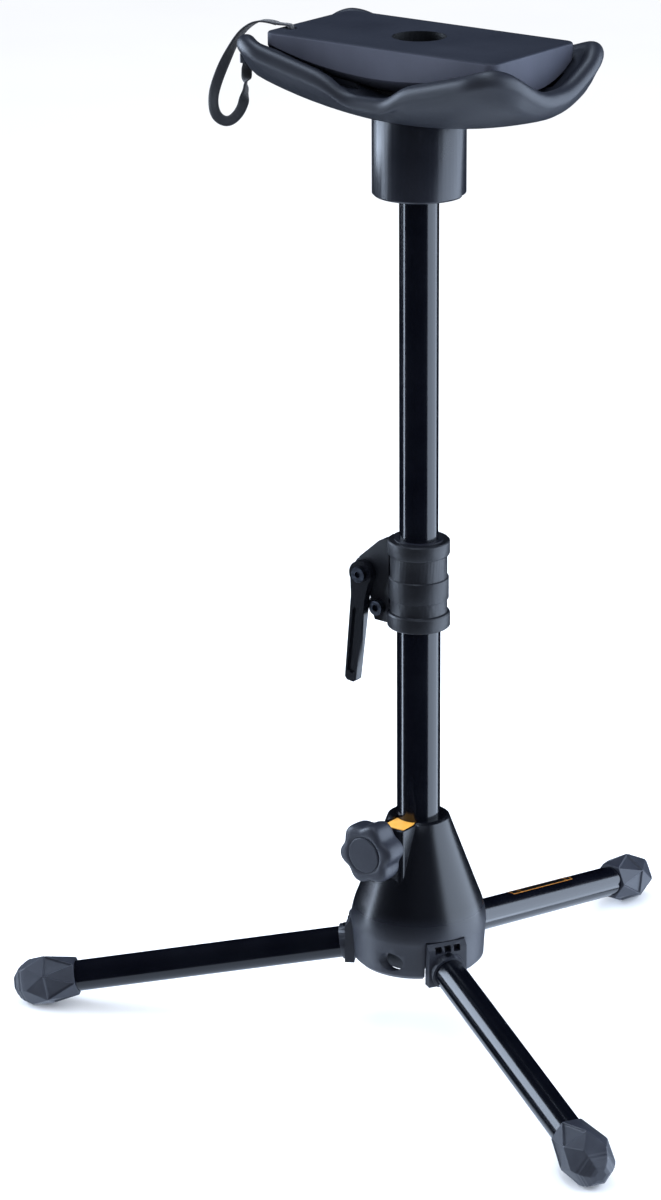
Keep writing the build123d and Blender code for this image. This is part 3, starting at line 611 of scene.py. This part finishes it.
# ---- boots ---------------------------------------------------------------------------------
def boot_form(leg):
    """A faceted boot with recessed flanks and a stepped toe."""
    origin, along, side, top = leg_frame(leg)

    def point(s, r, degrees):
        a = math.radians(degrees)
        return origin + along * s + (top * math.cos(a) + side * math.sin(a)) * r

    bm = bmesh.new()
    rim = [bm.verts.new(point(BOOT_START + 0.0012, 0.0131, 30 + 60 * k)) for k in range(6)]
    shoulder = [bm.verts.new(point(BOOT_START + 0.0215, 0.0176, 60 * k)) for k in range(6)]
    toe = [bm.verts.new(point(BOOT_START + 0.0345, 0.0156, 30 + 60 * k)) for k in range(6)]
    kites = []
    for k in range(6):
        n = (k + 1) % 6
        bm.faces.new((rim[k], rim[k - 1], shoulder[k]))
        kites.append(bm.faces.new((rim[k], shoulder[k], shoulder[n])))
        bm.faces.new((shoulder[k], toe[k], shoulder[n]))
        bm.faces.new((shoulder[k], toe[k - 1], toe[k]))
    caps = [(0.0380, 0.0138), (0.0387, 0.0130), (0.0402, 0.0124), (0.0410, 0.0114),
            (0.0424, 0.0104), (0.0433, 0.0088), (0.0446, 0.0070), (0.0453, 0.0040)]
    sections = [toe]
    for s, r in caps:
        sections.append([bm.verts.new(point(BOOT_START + s, r, 30 + 60 * k)) for k in range(6)])
    for a, b in zip(sections, sections[1:]):
        for i in range(6):
            j = (i + 1) % 6
            bm.faces.new((a[i], b[i], b[j], a[j]))
    bm.faces.new(sections[-1])
    bm.faces.new(rim)
    bmesh.ops.recalc_face_normals(bm, faces=bm.faces)
    bmesh.ops.inset_individual(bm, faces=kites, thickness=0.0019, depth=-0.0013)
    return bm


def make_boot(leg, mat):
    """A faceted rubber boot, softened and cut flat where it stands."""
    piece = finished("boot_" + leg, boot_form(leg), mat, "leg_" + leg,
                     ["leg_boot_" + leg])
    bevelled(piece, 0.0016, 4, 8)
    piece = applied(piece)
    bm = bmesh.new()
    bm.from_mesh(piece.data)
    cut = bmesh.ops.bisect_plane(bm, geom=bm.verts[:] + bm.edges[:] + bm.faces[:],
                                 plane_co=(0, 0, 0.00002), plane_no=(0, 0, -1), clear_outer=True)
    edges = [e for e in cut["geom_cut"] if isinstance(e, bmesh.types.BMEdge)]
    if edges:
        bmesh.ops.edgeloop_fill(bm, edges=edges)
    bm.to_mesh(piece.data)
    bm.free()
    return piece


# ---- knob, label ---------------------------------------------------------------------------
def make_knob(mat):
    """The six-lobed clamp knob, with a round recess in its face for the cap."""
    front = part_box("lock_knob")[0].y
    sections = []
    # (depth behind the front face, mean radius, how much of the lobes shows)
    layers = [(0.0262, 0.0070, 0), (0.0192, 0.0070, 0), (0.0188, 0.0078, 0), (0.0187, 0.0160, 0.6),
              (0.0182, 0.0180, 0.9), (0.0165, 0.0194, 1), (0.0070, 0.0199, 1), (0.0028, 0.0196, 1),
              (0.0012, 0.0184, 0.95), (0.0003, 0.0169, 0.8), (0.0, 0.0150, 0.4), (0.0, 0.0130, 0),
              (0.0009, 0.0122, 0), (0.0009, 0.0050, 0)]
    for back, radius, lobe in layers:
        ring = []
        for i in range(72):
            a = 2 * math.pi * i / 72
            wave = math.cos(6 * (a - KNOB_TURN))
            r = radius + lobe * KNOB_LOBE * (wave + 0.12 * (1 - wave * wave))
            ring.append((r * math.cos(a), front + back, KNOB_Z + r * math.sin(a)))
        sections.append(ring)
    bm = bmesh.new()
    rings(bm, sections)
    piece = finished("clamp_knob", bm, mat, "knob", ["lock_knob"])
    sub = piece.modifiers.new("subdivision", "SUBSURF")
    sub.levels = sub.render_levels = 1
    return piece


def make_hub_ribs(mat):
    """Ribs inside the skirt, behind its assembly holes."""
    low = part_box("hub_shell")[0]
    bm = bmesh.new()
    for degrees in (30, 150, 270):
        a = math.radians(degrees)
        out, side = Vector((math.cos(a), math.sin(a), 0)), Vector((-math.sin(a), math.cos(a), 0))
        sections = []
        for z in (low.z + 0.0008, 0.0560):
            corners = ((0.0235, -0.010), (0.0285, -0.010), (0.0285, 0.010), (0.0235, 0.010))
            sections.append([out * r + side * t + UP * z for r, t in corners])
        rings(bm, sections)
    return bevelled(finished("hub_ribs", bm, mat, "hub"), 0.0005)


def make_shoe(mat):
    """The clamp shoe, hollowed to the mast's radius on its inner face."""
    low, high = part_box("clamp_shoe")
    radius = -high.y
    profile = [(low.x, low.y), (high.x, low.y)]
    profile += [(high.x * t, -math.sqrt(radius ** 2 - (high.x * t) ** 2))
                for t in (1, 0.8, 0.6, 0.4, 0.2, 0, -0.2, -0.4, -0.6, -0.8, -1)]
    bm = bmesh.new()
    rings(bm, [[(x, y, z) for x, y in profile] for z in (low.z, high.z)])
    piece = finished("shoe_body", bm, mat, "clamp", ["clamp_shoe"])
    return bevelled(piece, 0.0007, 2, 40)


def make_label(black, orange):
    """A printed strip with a plain orange outline, wrapped on the rear leg."""
    origin, along, side, top = leg_frame("rear")
    half = LABEL_HALF_WIDTH / LEG_R
    marks_s = [0, 0.0006, 0.0012, 0.0100, 0.0106, 0.0670, 0.0676, 0.0734, 0.0740]
    marks_a = [-half, -half * 0.8, -half * 0.6, 0, half * 0.6, half * 0.8, half]
    bm = bmesh.new()
    grid = []
    for s in marks_s:
        row = []
        for a in marks_a:
            radial = top * math.cos(a) + side * math.sin(a)
            row.append(bm.verts.new(origin + along * (LABEL_START + s) + radial * (LEG_R + 0.0002)))
        grid.append(row)
    last_s, last_a = len(marks_s) - 2, len(marks_a) - 2
    for i in range(last_s + 1):
        for j in range(last_a + 1):
            face = bm.faces.new((grid[i][j], grid[i + 1][j], grid[i + 1][j + 1], grid[i][j + 1]))
            border = i in (0, last_s) or j in (0, last_a)
            divider = i in (3, 5) and not border
            face.material_index = 1 if border or divider else 0
    bmesh.ops.solidify(bm, geom=bm.faces[:], thickness=-0.00015)
    piece = finished("leg_print", bm, black, "leg_rear", ["leg_label"])
    piece.data.materials.append(orange)
    return piece


# ---- stage and lights ----------------------------------------------------------------------
def make_stage():
    """A large pale floor under an even pale surround."""
    mesh = bpy.data.meshes.new("floor")
    bm = bmesh.new()
    bmesh.ops.create_grid(bm, x_segments=8, y_segments=8, size=60)
    bm.to_mesh(mesh)
    bm.free()
    floor = bpy.data.objects.new("floor", mesh)
    bpy.context.scene.collection.objects.link(floor)
    floor.location.z = -0.0002
    floor.visible_glossy = False
    floor.visible_shadow = False
    mesh.materials.append(floor_finish())
    world = bpy.data.worlds.new("world")
    world.use_nodes = True
    background = world.node_tree.nodes["Background"]
    background.inputs["Color"].default_value = (0.97, 0.98, 1.0, 1)
    background.inputs["Strength"].default_value = 1.06
    bpy.context.scene.world = world
    world.cycles_visibility.glossy = False


def softbox(name, azimuth, distance, height, size, power, colour, aim=0.35):
    """A rectangular studio light that faces the mast. Azimuth is from the camera, to the right."""
    data = bpy.data.lights.new(name, "AREA")
    data.shape = "RECTANGLE"
    data.size, data.size_y = size
    data.energy = power
    data.color = colour
    lamp = bpy.data.objects.new(name, data)
    bpy.context.scene.collection.objects.link(lamp)
    a = math.radians(azimuth)
    lamp.location = (RIGHT * math.sin(a) - AWAY * math.cos(a)) * distance + UP * height
    lamp.rotation_euler = (Vector((0, 0, aim)) - lamp.location).to_track_quat("-Z", "Y").to_euler()
    lamp.visible_camera = False
    return lamp


def make_lights():
    """Side panels for the mast, a rear panel and an overhead strip for the legs, one from below."""
    cool = (0.69, 0.81, 1.0)
    softbox("panel_right", 88, 1.35, 0.25, (2.0, 2.3), 62, cool, 0.25)
    softbox("strip_left", -95, 1.35, 0.25, (0.20, 2.3), 15, cool, 0.25)
    softbox("panel_back_left", -117, 1.6, 0.72, (0.85, 1.1), 26, cool, 0.1)
    softbox("panel_front_top", 10, 2.2, 2.3, (1.6, 1.6), 12, cool, 0.5)
    softbox("strip_overhead", -90, 0.25, 2.3, (2.2, 0.34), 22, cool, 0.1)
    softbox("panel_below", 0, 0.0, -0.25, (1.1, 1.1), 5.0, cool, 0.3)


# ---- build ---------------------------------------------------------------------------------
def assign(mat, *names):
    for name in names:
        slots = NODES[name].data.materials
        slots.clear()
        slots.append(mat)


def soften(width, *names):
    """Rounds the sharp edges of CAD nodes that stay as they are."""
    for name in names:
        node = NODES[name]
        weld = node.modifiers.new("weld", "WELD")
        weld.merge_threshold = 2e-6
        bevelled(node, width, 2, 28)


def make_all():
    make_camera()
    web = webbing()
    make_strap(web)
    make_strap_root(web)
    make_stage()
    make_lights()
    gloss, hub, satin = gloss_paint(), hub_plastic(), satin_plastic()
    matte, knob_matte = matte_plastic(), matte_plastic("knob_plastic", 1.35)
    block, rubber, pad = block_foam(), boot_rubber(), pad_rubber()
    black_steel = metal("black_steel", (0.070, 0.078, 0.095), (0.110, 0.120, 0.145), (0.26, 0.38))
    bare_steel = metal("bare_steel", (0.42, 0.43, 0.45), (0.55, 0.56, 0.58), (0.22, 0.34))
    brass = metal("brass", (0.55, 0.38, 0.13), (0.68, 0.49, 0.19), (0.24, 0.36))
    legs = list(LEG_AZIMUTHS)
    assign(gloss, "upper_mast", "lower_mast", *("leg_tube_" + n for n in legs))
    assign(hub, "hub_shell", "clutch_lever")
    assign(matte_plastic("clutch_plastic", 0.5), "clutch_body")
    assign(matte, "hub_core", "clutch_bushing", "mast_plug", "mast_glide",
           *("leg_holder_" + n for n in legs))
    assign(satin, "swivel_housing", "cradle_shell", "strap_anchor", "thrust_washer")
    assign(knob_matte, "lock_knob", "knob_cap")
    assign(block, "insert_block")
    assign(rubber, *("leg_boot_" + n for n in legs))
    assign(pad, "cradle_pad")
    orange = orange_plastic()
    assign(orange, "clamp_shoe")
    assign(black_steel, "hub_screws", "strap_eyelet", "pinch_bolt", "lever_bolt", "lever_washer",
           "cradle_screws", *("leg_rivet_" + n for n in legs))
    assign(bare_steel, "knob_stud", "mast_spigot", "spindle_screw", "pinch_nut", "lever_nut",
           *("leg_pin_" + n for n in legs))
    assign(brass, "knob_nut")
    make_cradle(cradle_plastic())
    for leg in legs:
        make_boot(leg, rubber)
    make_knob(knob_matte)
    make_shoe(orange)
    make_hub_ribs(matte)
    make_label(label_black(), label_orange())
    soften(0.0005, "clutch_body", "clutch_lever", "swivel_housing", "insert_block", "hub_shell",
           *("leg_holder_" + n for n in legs))


make_all()
bpy.context.scene.view_settings.view_transform = "Standard"
bpy.context.view_layer.update()
